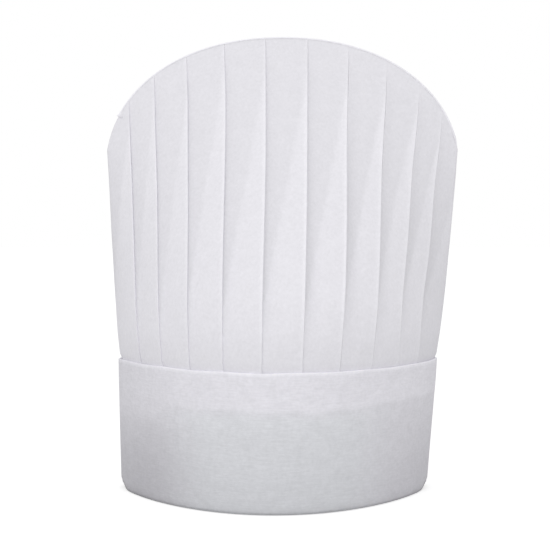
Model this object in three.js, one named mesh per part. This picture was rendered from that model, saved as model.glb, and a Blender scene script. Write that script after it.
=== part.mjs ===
// A disposable chef's toque of white non-woven cloth, standing open on its head band.
// One knife-pleated web makes the crown. It is closed into a tube by a seam up its left side
// and closed at the top by an arched seam from shoulder to shoulder. The web stands in a plain
// band, whose upper edge is turned in and whose two ends lap at the back.
// Millimetres, +Z up, the front faces -Y. The origin is under the middle of the hat.
import * as THREE from 'three';

// Overall sizes.
const TOTAL_HEIGHT = 290;
const BAND_HEIGHT = 83.5;
const BAND_BOTTOM_HALF_WIDTH = 99.2;
const BAND_TOP_HALF_WIDTH = 103;
const SHOULDER_HALF_WIDTH = 113.4;

// The head opening is a pointed oval. Its depth is a share of its width, and the power says how
// pointed its two ends are: 0.5 is an ellipse, and 1 is a pair of parabolas.
const OVAL_DEPTH_SHARE = 0.85;
const OVAL_POWER = 0.8;

// The hat leans: the middle of the band's bottom and of its top, left of the crown's middle.
const BAND_BOTTOM_SHIFT = -5.4;
const BAND_TOP_SHIFT = -3.1;

// The arched seam is a superellipse that ends at the shoulders.
const ARCH_HALF_WIDTH = 114.5;
const ARCH_RISE = 87;
const ARCH_POWER = 2.15;
const ARCH_SEAM_HEIGHT = 3;
const ARCH_SEAM_END_HEIGHT = 0.6;
const ARCH_SEAM_THICKNESS = 1.2;

// Cloth, as the thickness that its folded layers fill.
const BAND_THICKNESS = 1;
const WEB_THICKNESS = 1.4;
const SEAM_THICKNESS = 0.8;
const GAP = 0.3;

// The pleats: all the way round, with the outer fold at the right edge of each panel. The folds
// are one pitch apart, counted from the hat's left edge by way of the front. Those next to the two
// side edges are shifted round to the back, so that a plain panel wraps each edge.
const PLEAT_COUNT = 24;
const FIRST_FOLD = 0.6;
const FOLD_SHIFTS = { 0: -0.8, 11: 0.6, 12: 0.2, 22: -0.2, 23: -0.4 };
const PLEAT_DEPTH = 2.6;
const COLUMNS_PER_PLEAT = 5;

// The crown: how far it reaches down inside the band, how high it takes to swell out past the
// band's top edge, and the share of its height over which its front and back bend from upright to
// the straight slope that closes in to the arch.
const HEM_DEPTH = 25;
const SWELL_HEIGHT = 12;
const CLOSING_BEND = 0.4;
const CROWN_ROWS = 12;
const RIDGE_HALF_THICKNESS = 1.7;
const INNER_RIDGE_HALF_GAP = 0.3;
const INNER_RIDGE_DROP = 3;

// The fin of the crown's side seam, and the lap of the band's two ends.
const SIDE_SEAM_WIDTH = 5;
const SIDE_SEAM_TOP_SHARE = 0.85;
const LAP_HALF_COLUMNS = 2;

const COLUMNS = PLEAT_COUNT * COLUMNS_PER_PLEAT;
const HALF = COLUMNS / 2;

const crownCloth = new THREE.MeshStandardMaterial({ color: '#e6e5e9', roughness: 0.92, metalness: 0 });
const bandCloth = new THREE.MeshStandardMaterial({ color: '#dedde2', roughness: 0.94, metalness: 0 });
const fusedCloth = new THREE.MeshStandardMaterial({ color: '#eeedf1', roughness: 0.8, metalness: 0 });

const mix = THREE.MathUtils.lerp;

// The front half of the oval, one unit wide and one unit deep, from its left end to its right.
class OvalFront extends THREE.Curve {
  constructor(depthShare) {
    super();
    this.depthShare = depthShare;
    this.arcLengthDivisions = 2000;
  }

  getPoint(t, target = new THREE.Vector3()) {
    const across = Math.sin(Math.PI * (t - 0.5));
    const depth = this.depthShare * Math.pow(Math.max(0, 1 - across * across), OVAL_POWER);
    return target.set(across, -depth, 0);
  }
}

// Points evenly spaced by length along the oval, once round from the left end by way of the front.
function ovalColumns() {
  const front = new OvalFront(OVAL_DEPTH_SHARE).getSpacedPoints(HALF);
  front[0].y = 0;
  front[HALF].y = 0;
  const columns = [];
  for (let j = 0; j < COLUMNS; j += 1) {
    const onFront = j <= HALF;
    const point = front[onFront ? j : COLUMNS - j];
    columns.push({ x: point.x, y: onFront ? point.y : -point.y });
  }
  return columns;
}

const OVAL = ovalColumns();

// A point of the band's oval, moved inwards by inset.
function bandPoint(column, z, inset) {
  const share = z / BAND_HEIGHT;
  const halfWidth = mix(BAND_BOTTOM_HALF_WIDTH, BAND_TOP_HALF_WIDTH, share);
  const shift = mix(BAND_BOTTOM_SHIFT, BAND_TOP_SHIFT, share);
  const halfDepth = halfWidth * OVAL_DEPTH_SHARE;
  return new THREE.Vector3(
    shift + OVAL[column].x * (halfWidth - inset),
    (OVAL[column].y / OVAL_DEPTH_SHARE) * (halfDepth - inset),
    z,
  );
}

// The arch, moved inwards by inset. The share runs from -1 at the left shoulder to 1 at the right.
function archPoint(share, inset) {
  const endAngle = Math.asin(SHOULDER_HALF_WIDTH / ARCH_HALF_WIDTH);
  const across = Math.sin(endAngle * share);
  const up = Math.pow(1 - Math.pow(Math.abs(across), ARCH_POWER), 1 / ARCH_POWER);
  const x = across * (ARCH_HALF_WIDTH - inset);
  const z = TOTAL_HEIGHT - ARCH_RISE + up * (ARCH_RISE - inset);
  return new THREE.Vector3(x, 0, z);
}

// The seam runs out to a narrow end at each shoulder.
function seamHeight(share) {
  return mix(ARCH_SEAM_HEIGHT, ARCH_SEAM_END_HEIGHT, Math.pow(share, 6));
}

// How far a column lies across the crown, from -1 at its left edge to 1 at its right.
function shareAcross(column) {
  const steps = column <= HALF ? column : COLUMNS - column;
  return (2 * steps) / HALF - 1;
}

// Where the outer folds stand, in pitches from the left edge, with the first one again at the end.
function foldPlaces() {
  const folds = [];
  for (let k = 0; k <= PLEAT_COUNT; k += 1) {
    folds.push(FIRST_FOLD + k + (FOLD_SHIFTS[k % PLEAT_COUNT] ?? 0));
  }
  return [...folds, folds[1] + PLEAT_COUNT];
}

const FOLDS = foldPlaces();

// How far the cloth stands out at a column: it rises across each panel and drops at the fold.
function pleatRelief(column) {
  const place = column / COLUMNS_PER_PLEAT;
  const next = FOLDS.findIndex((fold) => fold > place - 1e-6);
  const past = (place - FOLDS[next - 1]) / (FOLDS[next] - FOLDS[next - 1]);
  return past > 1 - 1e-6 ? 1 : past * 0.85;
}

// How much of the band's depth is left at a height between the band, 0, and the arch, 1.
function closingShare(height) {
  const bent = Math.min(height, CLOSING_BEND);
  const fallen = (bent * bent) / (2 * CLOSING_BEND) + Math.max(0, height - CLOSING_BEND);
  return 1 - fallen / (1 - CLOSING_BEND / 2);
}

// A point of the crown's outer face: height runs from 0 at the band's top edge to 1 at the arch.
function crownPoint(column, height) {
  const share = shareAcross(column);
  const ridge = archPoint(share, seamHeight(share) + GAP);
  const z = mix(BAND_HEIGHT, ridge.z, height);
  const swell = Math.min(1, (z - BAND_HEIGHT) / SWELL_HEIGHT);
  const relief = PLEAT_DEPTH * pleatRelief(column) * 4 * height * (1 - height);
  const inset = (2 * BAND_THICKNESS + GAP) * (1 - swell);
  const base = bandPoint(column, BAND_HEIGHT, inset - relief);
  const side = Math.sign(OVAL[column].y);
  const y = base.y * closingShare(height) + side * RIDGE_HALF_THICKNESS * Math.pow(height, 8);
  return new THREE.Vector3(mix(base.x, ridge.x, height), y, z);
}

// The crown's inner face lies one thickness inside the outer, and meets below the ridge.
function crownInnerPoint(column, height) {
  const outer = crownPoint(column, height);
  const side = Math.sign(OVAL[column].y);
  const depth = Math.abs(outer.y) - WEB_THICKNESS * mix(1, 0.8, height);
  const x = outer.x * (1 - WEB_THICKNESS / SHOULDER_HALF_WIDTH);
  const y = side * Math.max(depth, INNER_RIDGE_HALF_GAP);
  return new THREE.Vector3(x, y, outer.z - INNER_RIDGE_DROP * height * height);
}

// A triangle mesh from rings of points.
class Surface {
  constructor() {
    this.positions = [];
    this.indices = [];
  }

  addRing(points) {
    const first = this.positions.length / 3;
    for (const point of points) {
      this.positions.push(point.x, point.y, point.z);
    }
    return points.map((point, i) => first + i);
  }

  triangle(a, b, c) {
    this.indices.push(a, b, c);
  }

  quad(a, b, c, d) {
    this.triangle(a, b, c);
    this.triangle(a, c, d);
  }

  // Joins two rings that run the same way, closed or open. Where they run left to right and the
  // second is the higher, the faces look to the front.
  bridge(lower, upper, closed) {
    const steps = closed ? lower.length : lower.length - 1;
    for (let i = 0; i < steps; i += 1) {
      const next = (i + 1) % lower.length;
      this.quad(lower[i], lower[next], upper[next], upper[i]);
    }
  }

  mesh(name, material) {
    const geometry = new THREE.BufferGeometry();
    geometry.setAttribute('position', new THREE.Float32BufferAttribute(this.positions, 3));
    geometry.setIndex(this.indices);
    geometry.computeVertexNormals();
    const mesh = new THREE.Mesh(geometry, material);
    mesh.name = name;
    return mesh;
  }
}

function ringOf(pointAt) {
  return Array.from({ length: COLUMNS }, (unused, column) => pointAt(column));
}

// The pleated web: an outer and an inner face, joined at the hem and closed along the ridge.
function crownPleatedWeb() {
  const surface = new Surface();
  const hemInset = 2 * BAND_THICKNESS + GAP;
  const hemBottom = BAND_HEIGHT - HEM_DEPTH + GAP;
  const hemRing = (inset) => surface.addRing(ringOf((column) => bandPoint(column, hemBottom, inset)));
  const outer = [hemRing(hemInset)];
  const inner = [hemRing(hemInset + WEB_THICKNESS)];
  for (let row = 0; row <= CROWN_ROWS; row += 1) {
    const height = row / CROWN_ROWS;
    outer.push(surface.addRing(ringOf((column) => crownPoint(column, height))));
    inner.push(surface.addRing(ringOf((column) => crownInnerPoint(column, height))));
  }
  for (let row = 1; row < outer.length; row += 1) {
    surface.bridge(outer[row - 1], outer[row], true);
    surface.bridge(inner[row], inner[row - 1], true);
  }
  surface.bridge(inner[0], outer[0], true);
  closeRidge(surface, outer[outer.length - 1], false);
  closeRidge(surface, inner[inner.length - 1], true);
  return surface.mesh('crown_pleated_web', crownCloth);
}

// Closes the top ring from front to back, along the arch.
function closeRidge(surface, ring, facingDown) {
  for (let j = 0; j < HALF; j += 1) {
    const front = ring[j];
    const frontNext = ring[j + 1];
    const back = ring[(COLUMNS - j) % COLUMNS];
    const backNext = ring[COLUMNS - j - 1];
    const corners = [...new Set([front, frontNext, backNext, back])];
    if (facingDown) {
      corners.reverse();
    }
    surface.triangle(corners[0], corners[1], corners[2]);
    if (corners.length === 4) {
      surface.triangle(corners[0], corners[2], corners[3]);
    }
  }
}

// The fused strip that joins front to back along the arch.
function crownTopArchSeam() {
  const surface = new Surface();
  const half = ARCH_SEAM_THICKNESS / 2;
  const corners = [[0, -half], [0, half], [1, half], [1, -half]];
  const rows = corners.map(([down, y]) => {
    const points = [];
    for (let j = 0; j <= HALF; j += 1) {
      const share = shareAcross(j);
      points.push(archPoint(share, down * seamHeight(share)).setY(y));
    }
    return surface.addRing(points);
  });
  for (let i = 0; i < rows.length; i += 1) {
    surface.bridge(rows[i], rows[(i + 1) % rows.length], false);
  }
  surface.quad(rows[0][0], rows[1][0], rows[2][0], rows[3][0]);
  surface.quad(rows[3][HALF], rows[2][HALF], rows[1][HALF], rows[0][HALF]);
  return surface.mesh('crown_top_arch_seam', fusedCloth);
}

// The web's two ends are joined up the left side, with their edges standing inwards as a fin.
function crownSideSeam() {
  const edgeInset = WEB_THICKNESS + 4 * GAP + SEAM_THICKNESS / 2;
  const lower = bandPoint(0, BAND_HEIGHT, 2 * BAND_THICKNESS + GAP + edgeInset);
  const upper = crownPoint(0, SIDE_SEAM_TOP_SHARE);
  upper.x += edgeInset;
  const outline = new THREE.Shape();
  outline.moveTo(lower.x, lower.z);
  outline.lineTo(lower.x + SIDE_SEAM_WIDTH, lower.z);
  outline.lineTo(upper.x + SIDE_SEAM_WIDTH, upper.z);
  outline.lineTo(upper.x, upper.z);
  outline.closePath();
  const fin = new THREE.ExtrudeGeometry(outline, { depth: SEAM_THICKNESS, bevelEnabled: false });
  fin.translate(0, 0, -SEAM_THICKNESS / 2);
  const mesh = new THREE.Mesh(fin, fusedCloth);
  mesh.name = 'crown_side_seam';
  mesh.rotation.x = Math.PI / 2;
  return mesh;
}

// The band: one layer below, and two layers above where its upper edge is turned in.
function headBand() {
  const surface = new Surface();
  const turnedInFrom = BAND_HEIGHT - HEM_DEPTH;
  const section = [
    [0, 0],
    [BAND_HEIGHT, 0],
    [BAND_HEIGHT, 2 * BAND_THICKNESS],
    [turnedInFrom, 2 * BAND_THICKNESS],
    [turnedInFrom, BAND_THICKNESS],
    [0, BAND_THICKNESS],
  ];
  const rings = section.map(([z, inset]) => {
    return surface.addRing(ringOf((column) => bandPoint(column, z, inset)));
  });
  for (let i = 0; i < rings.length; i += 1) {
    surface.bridge(rings[i], rings[(i + 1) % rings.length], true);
  }
  return surface.mesh('head_band', bandCloth);
}

// One end of the band laps over the other at the middle of the back.
function headBandBackLap() {
  const surface = new Surface();
  const middle = COLUMNS - HALF / 2;
  const section = [
    [0, -GAP - BAND_THICKNESS],
    [BAND_HEIGHT, -GAP - BAND_THICKNESS],
    [BAND_HEIGHT, -GAP],
    [0, -GAP],
  ];
  const rows = section.map(([z, inset]) => {
    const points = [];
    for (let j = middle - LAP_HALF_COLUMNS; j <= middle + LAP_HALF_COLUMNS; j += 1) {
      points.push(bandPoint(j, z, inset));
    }
    return surface.addRing(points);
  });
  for (let i = 0; i < rows.length; i += 1) {
    surface.bridge(rows[i], rows[(i + 1) % rows.length], false);
  }
  const last = 2 * LAP_HALF_COLUMNS;
  surface.quad(rows[0][0], rows[1][0], rows[2][0], rows[3][0]);
  surface.quad(rows[3][last], rows[2][last], rows[1][last], rows[0][last]);
  return surface.mesh('head_band_back_lap', bandCloth);
}

const toque = new THREE.Group();
toque.add(crownPleatedWeb(), crownTopArchSeam(), crownSideSeam(), headBand(), headBandBackLap());

export default toque;
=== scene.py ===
# A disposable chef's toque of white non-woven cloth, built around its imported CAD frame.
# Metres, +Z up, the front faces -Y.
import math
from types import SimpleNamespace

import bpy
import numpy as np
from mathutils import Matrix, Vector


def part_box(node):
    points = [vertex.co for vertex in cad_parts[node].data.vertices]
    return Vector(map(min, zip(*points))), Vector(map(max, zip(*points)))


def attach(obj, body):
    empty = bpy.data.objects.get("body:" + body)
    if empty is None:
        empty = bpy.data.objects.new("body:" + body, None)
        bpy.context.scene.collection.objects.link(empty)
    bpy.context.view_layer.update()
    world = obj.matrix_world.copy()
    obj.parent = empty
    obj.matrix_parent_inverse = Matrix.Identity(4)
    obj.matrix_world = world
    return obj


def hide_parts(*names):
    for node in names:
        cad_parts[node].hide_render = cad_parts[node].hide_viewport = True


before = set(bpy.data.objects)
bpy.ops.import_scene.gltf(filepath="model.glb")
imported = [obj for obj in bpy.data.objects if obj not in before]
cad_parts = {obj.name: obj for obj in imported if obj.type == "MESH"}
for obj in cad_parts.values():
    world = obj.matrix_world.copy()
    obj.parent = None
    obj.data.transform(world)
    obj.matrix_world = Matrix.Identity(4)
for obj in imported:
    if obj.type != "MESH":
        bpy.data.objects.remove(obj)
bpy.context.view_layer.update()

MM = 0.001
RNG = np.random.default_rng(11)

# ---------------------------------------------------------------- sizes
# Measured on the frame.
band_low, band_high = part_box("head_band")
arch_low, arch_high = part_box("crown_top_arch_seam")

TOP = arch_high.z
BAND_TOP = band_high.z
BAND_TOP_HALF = (band_high.x - band_low.x) / 2
BAND_TOP_SHIFT = (band_high.x + band_low.x) / 2
SHOULDER_HALF = (arch_high.x - arch_low.x) / 2

# The band narrows downwards, and its lower edge stands further left than its upper edge.
BAND_TAPER = 0.963
BAND_LEAN = 2.3 * MM
BAND_BOTTOM_HALF = BAND_TOP_HALF * BAND_TAPER
BAND_BOTTOM_SHIFT = BAND_TOP_SHIFT - BAND_LEAN

# The head opening is an oval with pointed ends: its depth as a share of its width, how
# pointed it is, and how finely it is measured.
OVAL_DEPTH_SHARE = 0.85
OVAL_POWER = 0.8
OVAL_STEPS = 4001

# The arch is a superellipse that reaches a little past the shoulders, where it is cut off.
# Places along it run from -1 at the left shoulder to 1 at the right one.
ARCH_OVERREACH = 1.0097
ARCH_HALF = SHOULDER_HALF * ARCH_OVERREACH
ARCH_RISE = 0.087
ARCH_POWER = 2.15

# The fused seam stops short of the left shoulder, and past its end the ridge is bare.
SEAM_LEFT_END = -0.825
SEAM_FADES = (SEAM_LEFT_END + 0.02, SEAM_LEFT_END - 0.04)
RIDGE_INSET = 0.8 * MM
BARE_RIDGE_INSET = 0.6 * MM
RIDGE_HALF_GAP = 0.25 * MM

# How thick the crown's cloth and the band's are, and how far down the band's turned-in edge
# and the crown's hem behind it reach.
CLOTH = 0.3 * MM
BAND_THICKNESS = 0.45 * MM
HEM_DEPTH = 25 * MM

# The crown stands inside the band and swells out over it, quickly at first and then slowly.
HEM_INSET = 2.0 * MM
CROWN_INSET = 0.4 * MM
SWELL_HEIGHT = 4 * MM
SLOW_SWELL_HEIGHT = 5 * SWELL_HEIGHT
QUICK_SWELL = 0.6

# Heights on the crown run from 0 at the band's top to 1 at the arch. Its front and back bend
# inwards up to this height and are straight above it.
CLOSING_BEND = 0.4

# ---------------------------------------------------------------- pleats
# Places round the hat are counted in pleats from the left end, across the front and back
# along the back. A pleat's outer fold is at the right edge of its panel. The folds by the
# side edges are shifted round to the back, so that each side has a plain panel.
PLEATS = 24
HALF_ROUND = PLEATS / 2
FIRST_FOLD = 0.6
FOLD_SHIFTS = {0: -0.8, 11: 0.6, 12: 0.2, 22: -0.2, 23: -0.4}
PITCH = 23.9 * MM
UNDERLAP = 0.40

# Where a pleat's cross-section is sampled, in pitches: the layer under the pleat before, the
# panel from its left edge, its fold, and the cloth going back under it.
UNDER_STATIONS = np.linspace(-UNDERLAP, 0, 5)[:-1]
PANEL_STATIONS = np.array(
    [0.0, 0.04, 0.1, 0.18, 0.27, 0.36, 0.45, 0.54, 0.63, 0.72, 0.8, 0.87, 0.925, 0.96, 0.985, 1.0]
)
BACK_STATIONS = np.array([0.985, 0.95, 0.88, 0.79, 0.7])
HEM_ROWS = np.array([-1.0, -0.75, -0.5, -0.25, -0.08])
CROWN_ROWS = 110
CROWN_ROW_POWER = 0.96

# Each panel stands out below a crease that climbs across it, from its left edge low down to
# its fold high up. Folds stand out less at the sides, and each varies a little.
CREASE_LOW = 0.20
CREASE_HIGH = 0.9
CREASE_SHIFT = 0.03
CREASE_SOFTNESS = 0.05
CREASE_END = 1.2
LIFT = 4.6 * MM
LIFT_SPREAD = (0.85, 1.15)
LIFT_RISES = (0.02, 0.22)
SIDE_LIFT_SHARE = 0.3
SIDEWAYS_LIFT = 0.25

# The dip to the right of a fold: its width as a share of the panel, and how it falls off.
VALLEY = 0.16
SOFT_VALLEY = 0.32
VALLEY_POWER = 1.3

# The folded layers are thinner at the arch, by the band and where the folds are soft.
LAYER = 0.36 * MM
ARCH_LAYER_SHARE, ARCH_LAYER_HEIGHTS = 0.15, (0.85, 1.0)
LOW_LAYER_SHARE, LOW_LAYER_HEIGHTS = 0.45, (0.05, 0.4)
SOFT_LAYER_SHARE = 0.2
LAYER_STARTS = 0.05
BEAD = 0.3 * MM
BEAD_REACH = 1.2 * MM
BEAD_HEIGHTS = (1.0, 0.97)
FACE_WAVE = 0.25 * MM

# The folds stray from even spacing, because they are made by hand. Each strays by so many
# pleats, around a place round the hat and over a reach to both sides of it.
FOLD_WAVE = 0.02
LEFT_STRAY, LEFT_STRAY_AT, LEFT_STRAY_REACH = 0.08, 3.2, 2.4
LOW_STRAY, LOW_STRAY_AT, LOW_STRAY_REACH = -0.17, 10.3, 1.1
LOW_STRAY_HEIGHT, LOW_STRAY_HEIGHT_REACH = 0.22, 0.16
HIGH_STRAY, HIGH_STRAY_AT, HIGH_STRAY_REACH = 0.14, 10.2, 1.6
HIGH_STRAY_HEIGHTS = (0.6, 0.95)

# Folds at the front go soft to the right: by how much, from which place across to which
# (-1 to 1), and from which height to which, where it isn't the same all the way up.
SOFT_FOLDS = [
    (0.9, (0.3, 0.7), None),
    (0.8, (0.0, 0.35), (0.45, 0.75)),
    (0.6, (0.1, 0.4), (0.25, 0.05)),
]

# ---------------------------------------------------------------- colours
# The crown's thin cloth, the band's where it is doubled, and where one layer shows.
WHITE_CLOTH = (0.865, 0.855, 0.899)
BAND_DOUBLED = (0.765, 0.755, 0.800)
BAND_SINGLE = (0.758, 0.766, 0.799)

# Painted light and shade on the crown, as shares of its cloth's own brightness, added or taken
# away: light below the creases, along the folds and in the hidden layers, and shade past the
# folds, in a belt round the middle and on the right side panel low down.
CREASE_LIGHT, CREASE_EDGE = 0.055, (-0.04, 0.05)
FOLD_LIGHT, FOLD_LIGHT_REACH = 0.09, 1.7 * MM
FOLD_SHADE, FOLD_SHADE_REACH = 0.08, 1.6 * MM
HIDDEN_LIGHT = 0.08
MIDDLE_SHADE, MIDDLE_HEIGHT, MIDDLE_REACH = 0.026, 0.42, 0.3
RIGHT_SIDE_PANEL = 11
RIGHT_SIDE_SHADE, RIGHT_SIDE_HEIGHTS = 0.04, (0.7, 0.2)

# Shares of the folds' painted light and shade: a soft fold's light, the wide shade past a sharp and
# past a soft fold, and what is left of both high up and low down.
SOFT_LIGHT_SHARE, SOFT_LIGHT_REACH = 0.65, 3.5 * MM
WIDE_SHADE_SHARE, SOFT_WIDE_SHADE_SHARE, WIDE_SHADE_REACH = 0.5, 0.8, 6 * MM
HIGH_UP_SHARE, HIGH_UP = 0.6, (0.6, 0.95)
LOW_DOWN_SHARE, LOW_DOWN = 0.5, (0.0, 0.25)


# ---------------------------------------------------------------- shared shapes
def mix(a, b, share):
    return a + (b - a) * share


def smooth(start, end, value):
    """0 up to start, 1 from end on, and a smooth step between. It falls where end is lower."""
    share = np.clip((value - start) / (end - start), 0, 1)
    return share * share * (3 - 2 * share)


def hill(value, middle, reach):
    """1 at the middle, falling away smoothly to both sides."""
    return np.exp(-(((value - middle) / reach) ** 2))


def fading_ends(height, low, high):
    """1 between the heights low and high, fading to 0 towards heights 0 and 1."""
    return smooth(0.0, low, height) * smooth(1.0, high, height)


def oval_table():
    """Points of the oval's front half, from the left end: pleats round, across and depth."""
    angle = np.linspace(0, np.pi, OVAL_STEPS)
    across = -np.cos(angle)
    depth = np.clip(np.sin(angle), 0, 1) ** (2 * OVAL_POWER)
    steps = np.hypot(np.diff(across), OVAL_DEPTH_SHARE * np.diff(depth))
    length = np.concatenate([[0], np.cumsum(steps)])
    return length / length[-1] * HALF_ROUND, across, depth


OVAL_AT, OVAL_ACROSS, OVAL_DEPTH = oval_table()


def round_the_oval(at):
    """Across (-1 to 1), depth (-1 front, 1 back) and place along the arch, so many pleats round."""
    at = np.mod(at, PLEATS)
    in_front = at <= HALF_ROUND
    along = np.where(in_front, at, PLEATS - at)
    across = np.interp(along, OVAL_AT, OVAL_ACROSS)
    depth = np.interp(along, OVAL_AT, OVAL_DEPTH) * np.where(in_front, -1, 1)
    return across, depth, 2 * along / HALF_ROUND - 1


def band_surface(at, z, inset):
    """The band's oval cone, moved inwards by inset."""
    across, depth, _ = round_the_oval(at)
    share = z / BAND_TOP
    half = mix(BAND_BOTTOM_HALF, BAND_TOP_HALF, share)
    shift = mix(BAND_BOTTOM_SHIFT, BAND_TOP_SHIFT, share)
    x = shift + across * (half - inset)
    y = depth * (half * OVAL_DEPTH_SHARE - inset)
    return np.stack([x, y, z + 0 * x], axis=-1)


def arch(place, inset):
    """x and z of the arch, moved inwards by inset."""
    across = np.sin(math.asin(SHOULDER_HALF / ARCH_HALF) * place)
    up = (1 - np.abs(across) ** ARCH_POWER) ** (1 / ARCH_POWER)
    return across * (ARCH_HALF - inset), TOP - ARCH_RISE + up * (ARCH_RISE - inset)


def closing_in(up):
    """The crown's depth as a share of the band's, from 1 at the band to 0 at the arch."""
    bend = np.minimum(up, CLOSING_BEND)
    fallen = bend * bend / (2 * CLOSING_BEND) + np.maximum(up - CLOSING_BEND, 0)
    return 1 - fallen / (1 - CLOSING_BEND / 2)


def crown_surface(at, height):
    """The crown without its pleats. Heights from -1 to 0 are its hem, inside the band."""
    _, depth, place = round_the_oval(at)
    ridge_inset = mix(RIDGE_INSET, BARE_RIDGE_INSET, smooth(*SEAM_FADES, place))
    ridge_x, ridge_z = arch(place, ridge_inset)
    up = np.clip(height, 0, 1)
    z = mix(BAND_TOP, ridge_z, up) + np.minimum(height, 0) * HEM_DEPTH
    quick = QUICK_SWELL * smooth(0, SWELL_HEIGHT, z - BAND_TOP)
    slow = (1 - QUICK_SWELL) * smooth(0, SLOW_SWELL_HEIGHT, z - BAND_TOP)
    base = band_surface(at, np.minimum(z, BAND_TOP), mix(HEM_INSET, CROWN_INSET, quick + slow))
    x = mix(base[..., 0], ridge_x, up)
    y = base[..., 1] * closing_in(up) + np.sign(depth) * RIDGE_HALF_GAP * up**4
    return np.stack([x, y, z], axis=-1)


def crown_normal(at, height, step_round=0.05, step_up=0.01):
    """Unit normals of the crown without its pleats, pointing outwards."""
    along = crown_surface(at + step_round, height) - crown_surface(at - step_round, height)
    upward = crown_surface(at, height + step_up) - crown_surface(at, height - step_up)
    normal = np.cross(along, upward)
    return normal / np.maximum(np.linalg.norm(normal, axis=-1, keepdims=True), 1e-12)


def make_waves(count, turns, rise):
    """Seeded waves round the hat: turns, rise with height, phase and share of the whole."""
    waves = []
    for _ in range(count):
        around = int(RNG.integers(*turns))
        size = (RNG.uniform(*rise), RNG.uniform(0, 2 * math.pi), RNG.uniform(0.3, 1))
        waves.append((around, *size))
    total = sum(wave[3] for wave in waves)
    return [(*wave[:3], wave[3] / total) for wave in waves]


def wander(at, height, waves):
    """A gentle unevenness between -1 and 1, made of waves, that joins up round the hat."""
    total = 0
    for turns, rise, phase, size in waves:
        turned = 2 * np.pi * (turns * at / PLEATS + rise * height) + phase
        total = total + size * np.sin(turned)
    return total


# ---------------------------------------------------------------- mesh helpers
def mesh_object(name, points, faces, material, thickness=0.0):
    """A piece of cloth. Where it has a thickness, half of it goes to each side."""
    mesh = bpy.data.meshes.new(name)
    mesh.from_pydata([tuple(point) for point in points], [], faces)
    mesh.validate()
    mesh.shade_smooth()
    mesh.materials.append(material)
    obj = bpy.data.objects.new(name, mesh)
    bpy.context.scene.collection.objects.link(obj)
    if thickness:
        solid = obj.modifiers.new("thickness", "SOLIDIFY")
        solid.thickness = thickness
        solid.offset = 0.0
    return obj


def grid_faces(rows, columns, closed):
    """Quads of a grid of points, row by row. Closed joins the last column to the first."""
    faces = []
    for row in range(rows - 1):
        low, high = row * columns, (row + 1) * columns
        for column in range(columns if closed else columns - 1):
            after = (column + 1) % columns
            faces.append((low + column, low + after, high + after, high + column))
    return faces


def colour_and_painted_light(obj, bright, colour=WHITE_CLOTH):
    """Gives each point its colour: the cloth's own, times 1 + bright, where bright holds the
    painted light and shade.
    """
    lift = 1 + np.asarray(bright, dtype=np.float32).ravel()
    colours = np.broadcast_to(np.asarray(colour).reshape(-1, 3), (len(lift), 3)) * lift[:, None]
    values = np.concatenate([colours, np.ones((len(lift), 1))], axis=1)
    layer = obj.data.attributes.new("colour_and_painted_light", "FLOAT_COLOR", "POINT")
    layer.data.foreach_set("color", values.astype(np.float32).ravel())


# ---------------------------------------------------------------- materials
CLOTH_SURFACE = {
    "Roughness": 0.93,
    "Specular IOR Level": 0.2,
    "Sheen Weight": 0.08,
    "Sheen Roughness": 0.5,
}
BUMP_DISTANCE = 0.12 * MM

# Noises: the higher the scale, the finer. Most of each noise lies between low and high.
FIBRE_SCALE = 420.0
FINE_FIBRE_SCALE = 1400.0
CLOUD_SCALE = 130.0
NOISE_LOW, NOISE_HIGH = 0.3, 0.7
EVEN = (1, 1, 1)


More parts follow.
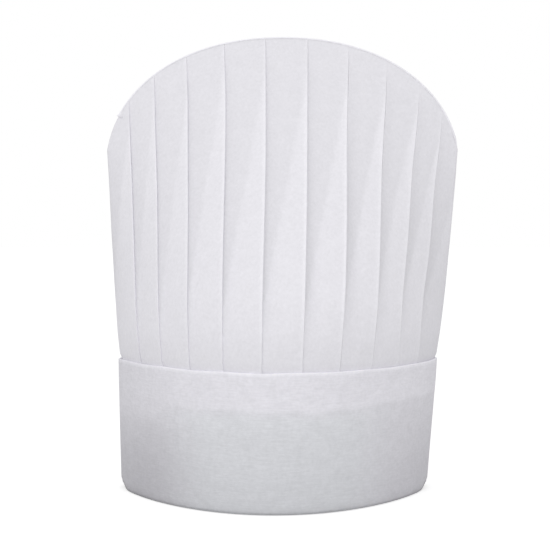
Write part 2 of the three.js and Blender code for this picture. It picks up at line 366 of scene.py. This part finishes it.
def cloth_material(name, streak, patch_scale, mottle, cloudy, bump):
    """Non-woven cloth: pressed fibres lying mostly one way, with thin and thick places.

    streak squeezes the fibres' pattern along x, y and z. mottle and cloudy are how far the
    fibres and patches, and the larger clouds, change the brightness.
    """
    material = bpy.data.materials.new(name)
    material.use_nodes = True
    nodes = material.node_tree.nodes
    links = material.node_tree.links
    shader = nodes["Principled BSDF"]
    for socket, value in CLOTH_SURFACE.items():
        shader.inputs[socket].default_value = value

    place = nodes.new("ShaderNodeTexCoord")

    def noise(scale, stretch, detail, distortion=0.0):
        mapping = nodes.new("ShaderNodeMapping")
        mapping.inputs["Scale"].default_value = stretch
        links.new(place.outputs["Object"], mapping.inputs["Vector"])
        texture = nodes.new("ShaderNodeTexNoise")
        texture.inputs["Scale"].default_value = scale
        texture.inputs["Detail"].default_value = detail
        texture.inputs["Distortion"].default_value = distortion
        links.new(mapping.outputs["Vector"], texture.inputs["Vector"])
        return texture.outputs["Fac"]

    def around_one(value, amount):
        """A noise, brought to between 1 - amount and 1 + amount."""
        fit = nodes.new("ShaderNodeMapRange")
        fit.inputs["From Min"].default_value = NOISE_LOW
        fit.inputs["From Max"].default_value = NOISE_HIGH
        fit.inputs["To Min"].default_value = 1 - amount
        fit.inputs["To Max"].default_value = 1 + amount
        links.new(value, fit.inputs["Value"])
        return fit.outputs["Result"]

    def combine(a, b, operation):
        node = nodes.new("ShaderNodeMath")
        node.operation = operation
        links.new(a, node.inputs[0])
        links.new(b, node.inputs[1])
        return node.outputs["Value"]

    fibres = noise(FIBRE_SCALE, streak, detail=4.0, distortion=0.4)
    patches = noise(patch_scale, EVEN, detail=2.0)
    clouds = noise(CLOUD_SCALE, EVEN, detail=5.0, distortion=0.6)
    tone = combine(around_one(fibres, mottle), around_one(patches, mottle), "MULTIPLY")
    tone = combine(tone, around_one(clouds, cloudy), "MULTIPLY")
    # The base colour takes the cloth's own colour with the painted light and shade from this
    # attribute.
    own = nodes.new("ShaderNodeAttribute")
    own.attribute_name = "colour_and_painted_light"
    mottled = nodes.new("ShaderNodeVectorMath")
    mottled.operation = "SCALE"
    links.new(own.outputs["Color"], mottled.inputs[0])
    links.new(tone, mottled.inputs["Scale"])
    links.new(mottled.outputs["Vector"], shader.inputs["Base Color"])

    relief = combine(fibres, noise(FINE_FIBRE_SCALE, streak, detail=2.0), "ADD")
    bumps = nodes.new("ShaderNodeBump")
    bumps.inputs["Strength"].default_value = bump
    bumps.inputs["Distance"].default_value = BUMP_DISTANCE
    links.new(relief, bumps.inputs["Height"])
    links.new(bumps.outputs["Normal"], shader.inputs["Normal"])
    return material


UPRIGHT_FIBRES = (1.6, 1.6, 1)
LEVEL_FIBRES = (0.35, 0.35, 2.4)
CROWN_CLOTH = cloth_material(
    "crown_cloth", UPRIGHT_FIBRES, patch_scale=560.0, mottle=0.019, cloudy=0.012, bump=0.35
)
BAND_CLOTH = cloth_material(
    "band_cloth", LEVEL_FIBRES, patch_scale=480.0, mottle=0.03, cloudy=0.025, bump=0.7
)
SEAM_CLOTH = cloth_material(
    "seam_cloth", UPRIGHT_FIBRES, patch_scale=560.0, mottle=0.016, cloudy=0.01, bump=0.2
)


# ---------------------------------------------------------------- crown
def pleat_grid():
    """The crown's grid of points, before it has a shape: a row for each height, and a column
    for each station of each pleat.

    pleat is the pleat that a column belongs to and last the one before it. at is its place
    round the hat and share its place across its panel. under and back mark the hidden
    layers, and from_fold and past_fold are the lengths to its own fold and from the last.
    """
    along = np.concatenate([UNDER_STATIONS, PANEL_STATIONS, BACK_STATIONS])
    stations = len(along)
    back = np.arange(stations) >= stations - len(BACK_STATIONS)
    pleat = np.repeat(np.arange(PLEATS), stations)
    along = np.tile(along, PLEATS)[None, :]
    back = np.tile(back, PLEATS)[None, :]
    under = along < 0

    folds = np.arange(PLEATS) + FIRST_FOLD
    for fold, shift in FOLD_SHIFTS.items():
        folds[fold] += shift
    start = np.roll(folds, 1)
    start[0] -= PLEATS
    width = folds - start
    last = np.mod(pleat - 1, PLEATS)
    span = width[pleat][None, :]

    rise = np.linspace(0, 1, CROWN_ROWS) ** CROWN_ROW_POWER
    height = np.concatenate([HEM_ROWS, rise])[:, None] + 0 * along
    share = np.where(back, 1 - (1 - along) / span, along)
    return SimpleNamespace(
        folds=folds,
        pleat=pleat,
        last=last,
        under=under,
        back=back,
        height=height,
        share=share,
        under_share=1 + along / width[last][None, :],
        at=start[pleat][None, :] + np.where(under, along, share * span) + 0 * height,
        from_fold=np.where(under, PITCH, (1 - share) * span * PITCH),
        past_fold=np.where(under, 0, share * span * PITCH),
    )


def crease_share(height, shift):
    """How far across its panel the diagonal crease lies, from 0 at the panel's left edge."""
    climb = (height - CREASE_LOW - shift) / (CREASE_HIGH - CREASE_LOW)
    return np.clip(climb, 0, CREASE_END)


def panel_rise(share, height, lift, shift):
    """How far a panel stands out: not above its crease, and rising to its fold below it."""
    below = np.maximum(0, share - crease_share(height, shift))
    soft = below * below / (below + CREASE_SOFTNESS)
    return lift * soft * smooth(*LIFT_RISES, height)


def hand_folding(at, height):
    """How far the folds stray at the left, and at the right low down and high up, in pleats."""
    up = np.clip(height, 0, 1)
    left = LEFT_STRAY * hill(at, LEFT_STRAY_AT, LEFT_STRAY_REACH) * np.sin(math.pi * up)
    low = LOW_STRAY * hill(at, LOW_STRAY_AT, LOW_STRAY_REACH)
    low = low * hill(up, LOW_STRAY_HEIGHT, LOW_STRAY_HEIGHT_REACH)
    high = HIGH_STRAY * hill(at, HIGH_STRAY_AT, HIGH_STRAY_REACH)
    high = high * smooth(*HIGH_STRAY_HEIGHTS, up)
    return left + low + high


def firmness(grid, which):
    """1 where the folds of these pleats are pressed sharp, and 0 where they are soft."""
    across, depth, _ = round_the_oval(grid.folds[which])
    firm = 1.0
    for amount, places, heights in SOFT_FOLDS:
        soft = (amount * smooth(*places, across) * (depth < 0))[None, :]
        if heights:
            soft = soft * smooth(*heights, grid.height)
        firm = firm * (1 - soft)
    return firm


def crown_painted_light_and_shade(grid, firm, crease):
    """Painted light below the creases, along the folds and in hidden layers, and painted shade past
    the folds, round the middle and low on the right side panel.
    """
    height = grid.height
    # Painted light below each crease.
    below_crease = smooth(*CREASE_EDGE, grid.share - crease)
    below_crease = below_crease * fading_ends(height, low=0.15, high=0.9)

    # A painted highlight along each fold.
    light = firm * hill(grid.from_fold, 0, FOLD_LIGHT_REACH)
    soft_light = (1 - firm) * hill(grid.from_fold, 0, SOFT_LIGHT_REACH)
    light = light + SOFT_LIGHT_SHARE * soft_light

    # Painted shade in the dip past each fold.
    shade = firm * hill(grid.past_fold, 0, FOLD_SHADE_REACH)
    wide_share = mix(SOFT_WIDE_SHADE_SHARE, WIDE_SHADE_SHARE, firm)
    shade = shade + wide_share * hill(grid.past_fold, 0, WIDE_SHADE_REACH)
    shade = shade * fading_ends(height, low=0.25, high=0.85)

    left_high_up = mix(1.0, HIGH_UP_SHARE, smooth(*HIGH_UP, height))
    left_low_down = mix(LOW_DOWN_SHARE, 1.0, smooth(*LOW_DOWN, height))
    at_fold = left_high_up * left_low_down * (FOLD_LIGHT * light - FOLD_SHADE * shade)
    side_panel = (grid.pleat == RIGHT_SIDE_PANEL)[None, :]
    bright = CREASE_LIGHT * below_crease
    # Painted light in the hidden layers, and the folds' painted light and shade on the rest.
    bright = bright + np.where(grid.under | grid.back, HIDDEN_LIGHT, at_fold)
    # Painted shade in a belt round the crown's middle, and on the right side panel low down.
    bright = bright - MIDDLE_SHADE * hill(height, MIDDLE_HEIGHT, MIDDLE_REACH)
    return bright - RIGHT_SIDE_SHADE * side_panel * smooth(*RIGHT_SIDE_HEIGHTS, height)


def crown_web():
    """The pleated web: one strip of cloth, folded back and forth all the way round."""
    fold_waves = make_waves(5, turns=(3, 11), rise=(0.4, 1.6))
    face_waves = make_waves(7, turns=(5, 30), rise=(0.5, 2.5))
    fold_lift = RNG.uniform(*LIFT_SPREAD, PLEATS)
    crease_shift = RNG.uniform(-CREASE_SHIFT, CREASE_SHIFT, PLEATS)

    grid = pleat_grid()
    height = grid.height
    _, fold_depth, _ = round_the_oval(grid.folds)
    fold_lift = LIFT * fold_lift * mix(SIDE_LIFT_SHARE, 1.0, np.abs(fold_depth))
    firm_left, firm_right = firmness(grid, grid.last), firmness(grid, grid.pleat)
    firm = np.where(grid.share < 0.5, firm_left, firm_right)
    firm_across = mix(firm_left, firm_right, smooth(0, 1, grid.share))
    layer = LAYER * mix(1.0, ARCH_LAYER_SHARE, smooth(*ARCH_LAYER_HEIGHTS, height))
    layer = layer * mix(LOW_LAYER_SHARE, 1.0, smooth(*LOW_LAYER_HEIGHTS, height))
    layer = layer * mix(SOFT_LAYER_SHARE, 1.0, firm_across)

    def panel_out(share, which):
        """A panel's outer face: how far it stands out, and the layers it lies on."""
        left = np.mod(which - 1, PLEATS)
        lift_here, lift_left = fold_lift[which][None, :], fold_lift[left][None, :]
        shift_here, shift_left = crease_shift[which][None, :], crease_shift[left][None, :]
        own = panel_rise(share, height, lift_here, shift_here)
        behind = panel_rise(1.0, height, lift_left, shift_left)
        valley = mix(SOFT_VALLEY, VALLEY, firmness(grid, left))
        lift = own + behind * np.exp(-((share / valley) ** VALLEY_POWER))
        return lift, 2 * layer * smooth(LAYER_STARTS, 1 - UNDERLAP, share)

    lift, lap = panel_out(np.clip(grid.share, 0, 1), grid.pleat)
    under_lift, under_lap = panel_out(np.clip(grid.under_share, 0, 1), grid.last)
    bead = BEAD * firm * hill(grid.from_fold, 0, BEAD_REACH) * smooth(*BEAD_HEIGHTS, height)
    lift = np.where(grid.under, under_lift, lift)
    lap = lap + np.where(grid.back, -layer, bead)
    lap = np.where(grid.under, under_lap - 2 * layer, lap)
    uneven = FACE_WAVE * wander(grid.at, height, face_waves)
    lap = lap + uneven * fading_ends(height, low=0.2, high=0.9)

    drift = FOLD_WAVE * wander(grid.at, height, fold_waves)
    drift = drift * fading_ends(height, low=0.3, high=0.8)
    at = grid.at + (drift + hand_folding(grid.at, height))
    normal = crown_normal(at, height)
    forward = normal * np.array([SIDEWAYS_LIFT, 1.0, 1.0])
    points = crown_surface(at, height) + normal * lap[..., None] + forward * lift[..., None]

    faces = grid_faces(*height.shape, closed=True)
    obj = mesh_object("crown_web", points.reshape(-1, 3), faces, CROWN_CLOTH, CLOTH)
    crease = crease_share(height, crease_shift[grid.pleat][None, :])
    colour_and_painted_light(obj, crown_painted_light_and_shade(grid, firm, crease))
    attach(obj, "root")
    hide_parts("crown_pleated_web")
    return obj


# The seam's section, in millimetres: from the arch inwards, and out from the middle plane.
# Its edge's painted highlight reaches inwards in millimetres too.
SEAM_SECTION = [
    (0.0, 0.0), (0.15, 0.28), (0.6, 0.42), (1.8, 0.6), (3.6, 0.78), (3.7, 0.4),
    (3.7, -0.4), (3.6, -0.78), (1.8, -0.6), (0.6, -0.42), (0.15, -0.28),
]
SEAM_STEPS = 160
SEAM_EDGE_LIGHT = 0.16
SEAM_EDGE_REACH = 0.9

# Towards the right shoulder the seam gets narrower and thinner and sinks in. At its left end
# it has a small knot that stands up.
NARROW_SHARE, NARROW_FROM = 0.25, 0.8
THIN_SHARE, THIN_FROM = 0.4, 0.95
SINK, SINK_FROM = 0.9 * MM, 0.93
KNOT_REACH = 0.014
KNOT_RISE = 0.7 * MM
KNOT_THICKNESS = 1.4


def arch_seam():
    """The fused strip along the arch: thin at its edge, and as thick as the web below."""
    place = np.linspace(SEAM_LEFT_END, 1, SEAM_STEPS)
    knot = hill(place, SEAM_LEFT_END, KNOT_REACH)
    width = mix(1.0, NARROW_SHARE, smooth(NARROW_FROM, 1.0, place))
    thickness = mix(1.0, THIN_SHARE, smooth(THIN_FROM, 1.0, place)) + KNOT_THICKNESS * knot
    sunk = SINK * smooth(SINK_FROM, 1.0, place) - KNOT_RISE * knot
    points = []
    for inset, y in SEAM_SECTION:
        x, z = arch(place, inset * MM * width + sunk)
        points.append(np.stack([x, y * MM * thickness, z], axis=-1))
    points = np.stack(points, axis=1).reshape(-1, 3)
    rows, columns = SEAM_STEPS, len(SEAM_SECTION)
    faces = grid_faces(rows, columns, closed=True)
    faces.append(tuple(range(columns)))
    faces.append(tuple((rows - 1) * columns + column for column in reversed(range(columns))))
    obj = mesh_object("top_arch_seam", points, faces, SEAM_CLOTH)
    # A painted highlight along the seam's edge.
    edge_light = [SEAM_EDGE_LIGHT * hill(inset, 0, SEAM_EDGE_REACH) for inset, _ in SEAM_SECTION]
    colour_and_painted_light(obj, np.tile(edge_light, rows))
    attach(obj, "root")
    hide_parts("crown_top_arch_seam")
    return obj


# The side seam's fin runs from inside the band nearly to the arch. Its free edge is wavy.
FIN_LOW, FIN_HIGH = -0.9, 0.85
FIN_ROWS, FIN_COLUMNS = 60, 6
FIN_WIDTH = 5 * MM
FIN_INSET = 1.6 * MM
FIN_THICKNESS = 0.6 * MM
FIN_WAVE, FIN_WAVE_RATE = 0.3 * MM, 19


def side_seam():
    """The web's two joined edges, standing inwards as a fin up the left side."""
    heights = np.linspace(FIN_LOW, FIN_HIGH, FIN_ROWS)
    depth = np.linspace(0, FIN_WIDTH, FIN_COLUMNS)
    edge = crown_surface(np.zeros(FIN_ROWS), heights)
    points = np.repeat(edge[:, None, :], FIN_COLUMNS, axis=1)
    wave = FIN_WAVE * np.sin(heights * FIN_WAVE_RATE)
    points[..., 0] += FIN_INSET + depth[None, :]
    points[..., 1] = wave[:, None] * (depth / FIN_WIDTH)[None, :]
    faces = grid_faces(FIN_ROWS, FIN_COLUMNS, closed=False)
    obj = mesh_object("side_seam", points.reshape(-1, 3), faces, SEAM_CLOTH, FIN_THICKNESS)
    colour_and_painted_light(obj, np.zeros(FIN_ROWS * FIN_COLUMNS))
    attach(obj, "root")
    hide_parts("crown_side_seam")
    return obj


# ---------------------------------------------------------------- band
BAND_COLUMNS = 600
OUTSIDE_ROWS = 44
FOLD_ROWS = 8
INSIDE_ROWS = 14
BAND_FOLD_RADIUS = 0.4 * MM

# The turned-in edge shows through as a wavy line, so far below the band's top, that rises
# towards the sides. Places across the band run from -1 at the left to 1 at the right.
HEM_SHOWN = 23.5 * MM
HEM_SIDE_RISE, HEM_RISES = 3.5 * MM, (0.3, 1.0)
HEM_WAVE = 1.6 * MM
HEM_STEP, HEM_STEP_REACH = 0.1 * MM, 1.2 * MM
TOP_WAVE = 0.35 * MM
FACE_RIPPLE = 0.35 * MM

# The lower edge is lifted and drawn in at both sides, which rounds the lower corners.
CORNER_REACH, CORNER_HEIGHT = 0.035, 7 * MM
CORNER_RISE, CORNER_INSET = 3.5 * MM, 0.8 * MM

# The back lap: its half width and its middle in pleats, and how far it stands off the band.
LAP_HALF = 0.44
LAP_MIDDLE = PLEATS * 0.75
LAP_BOTTOM, LAP_TOP = 0.1 * MM, BAND_TOP - 0.2 * MM
LAP_ROWS, LAP_COLUMNS = 50, 24
LAP_OFF = 0.36 * MM
LAP_LIGHT = 0.03

# Shares of the band cloth's own brightness, added or taken away. The band is a little lighter all
# over, and doubled cloth is lighter, more so in the middle as painted light. The rest is painted: a
# highlight along the top edge, shade along the hem line and low down, and on the front light at the
# upper right and shade at the upper left, in both lower corners and in a patch at the left. Pairs
# of heights and of places across say where each of them begins and where it is full.
BAND_LIGHT = 0.015
DOUBLED_LIGHT, DOUBLED_MIDDLE_LIGHT = 0.05, 0.1
HEM_LINE_SHADE, HEM_LINE_REACH, HEM_LINE_ACROSS = 0.045, 0.6 * MM, (0.65, 0.3)
TOP_EDGE_LIGHT, TOP_EDGE_REACH = 0.12, 1.3 * MM
LOW_SHADE, LOW_SHADE_HEIGHT = 0.075, 40 * MM
LOWER_EDGE_SHADE, LOWER_EDGE_HEIGHT = 0.09, 6 * MM
UPPER_RIGHT_LIGHT, UPPER_RIGHT_ACROSS = 0.05, (0.3, 0.9)
UPPER_LEFT_SHADE, UPPER_LEFT_ACROSS = 0.02, (-0.3, -0.9)
LEFT_CORNER_SHADE, LEFT_CORNER_ACROSS = 0.125, (-0.3, -0.85)
RIGHT_CORNER_SHADE, RIGHT_CORNER_ACROSS = 0.08, (0.5, 0.95)
CORNER_HEIGHTS = (60 * MM, 20 * MM)
PATCH_SHADE, PATCH_ACROSS, PATCH_REACH = 0.075, -0.78, 0.22
PATCH_HEIGHTS = (62 * MM, 40 * MM)
FRONT_DEPTHS = (0.5, 0.0)

# Heights above the line of the turned-in edge. Half of the change there is sudden, at the
# line, and half comes slowly.
AT_LINE = (-1.5 * MM, 1.5 * MM)
AROUND_LINE = (-22 * MM, 5 * MM)
BLUISH_BELOW, BLUISH_ACROSS = (4 * MM, -6 * MM), (0.8, 0.35)


def band_path():
    """The band's section, as heights and insets, and where its inside begins: from the
    lower edge up the outside, over the fold and down inside."""
    radius = BAND_FOLD_RADIUS
    path = [(z, 0.0) for z in np.linspace(0, BAND_TOP - radius, OUTSIDE_ROWS)]
    for angle in np.linspace(0, np.pi, FOLD_ROWS)[1:-1]:
        over = BAND_TOP - radius + radius * math.sin(angle)
        path.append((over, radius - radius * math.cos(angle)))
    first_inside = len(path)
    inside = np.linspace(BAND_TOP - radius, BAND_TOP - HEM_DEPTH, INSIDE_ROWS)
    return path + [(z, 2 * radius) for z in inside], first_inside


def band_tones(z, across, depth, hem_level):
    """The band's brightness and colour.

    It is lighter where it is doubled, and more so in its middle as painted light. It has a painted
    highlight along its top edge, and painted shade along the hem line and towards its lower edge.
    Its front has painted light at the upper right and painted shade at the upper left and in both
    lower corners. Below the line, away from the sides, it is bluer.
    """
    above_line = smooth(*AT_LINE, z - hem_level)
    around_line = smooth(*AROUND_LINE, z - hem_level)
    # Doubled cloth is lighter. The extra in the middle is painted light.
    doubled = DOUBLED_LIGHT + DOUBLED_MIDDLE_LIGHT * (1 - across**2)
    doubled = (0.5 * above_line + 0.5 * around_line) * doubled
    # Painted shade along the hem line and low down, and a painted highlight along the top edge.
    hem_line = HEM_LINE_SHADE * hill(z, hem_level, HEM_LINE_REACH)
    hem_line = hem_line * smooth(*HEM_LINE_ACROSS, np.abs(across))
    top_edge = TOP_EDGE_LIGHT * hill(z, BAND_TOP, TOP_EDGE_REACH)
    low = LOW_SHADE * smooth(LOW_SHADE_HEIGHT, 0, z)
    low = low + LOWER_EDGE_SHADE * smooth(LOWER_EDGE_HEIGHT, 0, z)

    # Painted light at the upper right of the front, and painted shade at its upper left, in its
    # lower corners and in a patch low at the left.
    upper = UPPER_RIGHT_LIGHT * smooth(*UPPER_RIGHT_ACROSS, across)
    upper = upper - UPPER_LEFT_SHADE * smooth(*UPPER_LEFT_ACROSS, across)
    corner = smooth(*CORNER_HEIGHTS, z)
    left = LEFT_CORNER_SHADE * smooth(*LEFT_CORNER_ACROSS, across) * corner
    right = RIGHT_CORNER_SHADE * smooth(*RIGHT_CORNER_ACROSS, across) * corner
    patch = PATCH_SHADE * hill(across, PATCH_ACROSS, PATCH_REACH) * smooth(*PATCH_HEIGHTS, z)
    front_only = smooth(*FRONT_DEPTHS, depth) * (above_line * upper - left - patch - right)
    bright = BAND_LIGHT + doubled - hem_line + top_edge - low + front_only

    bluish = smooth(*BLUISH_BELOW, z - hem_level) * smooth(*BLUISH_ACROSS, np.abs(across))
    return bright, mix(np.array(BAND_DOUBLED), np.array(BAND_SINGLE), bluish[..., None])


def band_ripple(at, share, waves):
    """How far the band's cloth stands out from its oval cone: not at all along its edges."""
    return FACE_RIPPLE * wander(at, share, waves) * fading_ends(share, low=0.1, high=0.85)


def hem_step(z, hem_level):
    """The turned-in edge lifts the cloth over it a little."""
    return HEM_STEP * smooth(-HEM_STEP_REACH, HEM_STEP_REACH, z - hem_level)


def head_band():
    """The band, with its upper edge turned in. Also returns its waves, for the lap on it."""
    path, first_inside = band_path()
    at = np.arange(BAND_COLUMNS) / BAND_COLUMNS * PLEATS
    across, depth, _ = round_the_oval(at)
    edge_waves = make_waves(6, turns=(3, 14), rise=(0, 0.01))
    face_waves = make_waves(6, turns=(2, 9), rise=(0.3, 1.2))
    hem_waves = make_waves(7, turns=(5, 24), rise=(0, 0.01))
    top_wave = TOP_WAVE * wander(at, 0, edge_waves)
    hem_wave = HEM_WAVE * wander(at, 0, hem_waves)
    side_rise = HEM_SIDE_RISE * smooth(*HEM_RISES, np.abs(across))
    hem_level = BAND_TOP - HEM_SHOWN + side_rise + hem_wave
    points = []
    for row, (z, inset) in enumerate(path):
        share = z / BAND_TOP
        corner = hill(np.abs(across), 1, CORNER_REACH) * smooth(CORNER_HEIGHT, 0, z)
        level = z + top_wave * share + CORNER_RISE * corner
        inset = inset + CLOTH / 2 - band_ripple(at, share, face_waves) + CORNER_INSET * corner
        if row < first_inside:
            inset = inset - hem_step(z, hem_level)
        else:
            level = level + hem_wave * (row - first_inside) / INSIDE_ROWS
        points.append(band_surface(at, level, inset))
    points = np.stack(points).reshape(-1, 3)
    faces = grid_faces(len(path), BAND_COLUMNS, closed=True)
    obj = mesh_object("band_strip", points, faces, BAND_CLOTH, BAND_THICKNESS)
    levels = np.array([z for z, _ in path])[:, None]
    colour_and_painted_light(obj, *band_tones(levels, across[None, :], depth[None, :], hem_level[None, :]))
    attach(obj, "root")
    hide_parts("head_band")
    return obj, face_waves


def back_lap(face_waves):
    """The band's outer end, lying over its inner end at the middle of the back."""
    columns = LAP_MIDDLE + np.linspace(-LAP_HALF, LAP_HALF, LAP_COLUMNS)
    rows = np.linspace(LAP_BOTTOM, LAP_TOP, LAP_ROWS)
    at, z = np.meshgrid(columns, rows)
    hem_level = BAND_TOP - HEM_SHOWN + 0 * at
    out = band_ripple(at, z / BAND_TOP, face_waves) + hem_step(z, hem_level) + LAP_OFF
    points = band_surface(at, z, -out).reshape(-1, 3)
    faces = grid_faces(LAP_ROWS, LAP_COLUMNS, closed=False)
    obj = mesh_object("band_back_lap", points, faces, BAND_CLOTH, BAND_THICKNESS)
    across, depth, _ = round_the_oval(at)
    bright, colour = band_tones(z, across, depth, hem_level)
    colour_and_painted_light(obj, bright + LAP_LIGHT, colour)
    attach(obj, "root")
    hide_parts("head_band_back_lap")
    return obj


# ---------------------------------------------------------------- stage, light and camera
FLOOR_HALF = 8.0
FLOOR_DROP = 0.4 * MM
FLOOR_COLOUR = (0.6, 0.6, 0.6, 1)
FLOOR_ROUGHNESS = 0.9
WHITE = (1, 1, 1, 1)

# The floor glows, and the surround is full white, for the camera only. What lights the hat
# is the plain floor, a weaker surround and three soft lamps.
FLOOR_GLOW = 0.6
SURROUND_LIGHT = 0.78
SURROUND_SEEN = 1.0

# Each lamp's name, place, size and power. All are aimed at the hat's middle.
HAT_MIDDLE = (0, 0, 0.2)
LAMPS = [
    ("front", (0, -1.6, 0.4), 0.5, 3.1),
    ("left", (-0.75, -0.75, 0.55), 0.3, 1.05),
    ("right", (1.1, -0.5, 0.3), 0.6, 0.65),
]

CAMERA_PLACE = (-4.9 * MM, -0.838, 0.171)
CAMERA_TILT_DOWN = 2.3
LENS = 85.0
SENSOR_WIDTH = 36.0


def camera():
    data = bpy.data.cameras.new("camera")
    data.lens = LENS
    data.sensor_width = SENSOR_WIDTH
    obj = bpy.data.objects.new("camera", data)
    bpy.context.scene.collection.objects.link(obj)
    obj.location = CAMERA_PLACE
    obj.rotation_euler = (math.radians(90 - CAMERA_TILT_DOWN), 0, 0)
    bpy.context.scene.camera = obj


def pale_floor():
    mesh = bpy.data.meshes.new("floor")
    corners = [(-1, -1), (1, -1), (1, 1), (-1, 1)]
    points = [(x * FLOOR_HALF, y * FLOOR_HALF, -FLOOR_DROP) for x, y in corners]
    mesh.from_pydata(points, [], [(0, 1, 2, 3)])
    floor = bpy.data.objects.new("floor", mesh)
    bpy.context.scene.collection.objects.link(floor)
    pale = bpy.data.materials.new("pale_floor")
    pale.use_nodes = True
    nodes = pale.node_tree.nodes
    links = pale.node_tree.links
    shader = nodes["Principled BSDF"]
    shader.inputs["Base Color"].default_value = FLOOR_COLOUR
    shader.inputs["Roughness"].default_value = FLOOR_ROUGHNESS
    shader.inputs["Specular IOR Level"].default_value = 0.0
    shader.inputs["Emission Color"].default_value = WHITE
    seen = nodes.new("ShaderNodeLightPath")
    glow = nodes.new("ShaderNodeMath")
    glow.operation = "MULTIPLY"
    glow.inputs[1].default_value = FLOOR_GLOW
    links.new(seen.outputs["Is Camera Ray"], glow.inputs[0])
    links.new(glow.outputs["Value"], shader.inputs["Emission Strength"])
    mesh.materials.append(pale)


def white_surround():
    world = bpy.data.worlds.new("studio")
    bpy.context.scene.world = world
    world.use_nodes = True
    nodes = world.node_tree.nodes
    links = world.node_tree.links
    background = nodes["Background"]
    background.inputs["Color"].default_value = WHITE
    seen = nodes.new("ShaderNodeLightPath")
    strength = nodes.new("ShaderNodeMix")
    strength.inputs["A"].default_value = SURROUND_LIGHT
    strength.inputs["B"].default_value = SURROUND_SEEN
    links.new(seen.outputs["Is Camera Ray"], strength.inputs["Factor"])
    links.new(strength.outputs["Result"], background.inputs["Strength"])


def lamp(name, place, size, power):
    light = bpy.data.lights.new(name, "AREA")
    light.shape = "SQUARE"
    light.size = size
    light.energy = power
    obj = bpy.data.objects.new(name, light)
    bpy.context.scene.collection.objects.link(obj)
    obj.location = place
    aim = Vector(HAT_MIDDLE) - Vector(place)
    obj.rotation_mode = "QUATERNION"
    obj.rotation_quaternion = aim.to_track_quat("-Z", "Y")
    obj.visible_camera = False


# ---------------------------------------------------------------- build
camera()
crown = crown_web()
top_seam = arch_seam()
seam_fin = side_seam()
band, band_waves = head_band()
lap = back_lap(band_waves)
pale_floor()
white_surround()
bpy.context.scene.view_settings.view_transform = "Standard"
for setting in LAMPS:
    lamp(*setting)
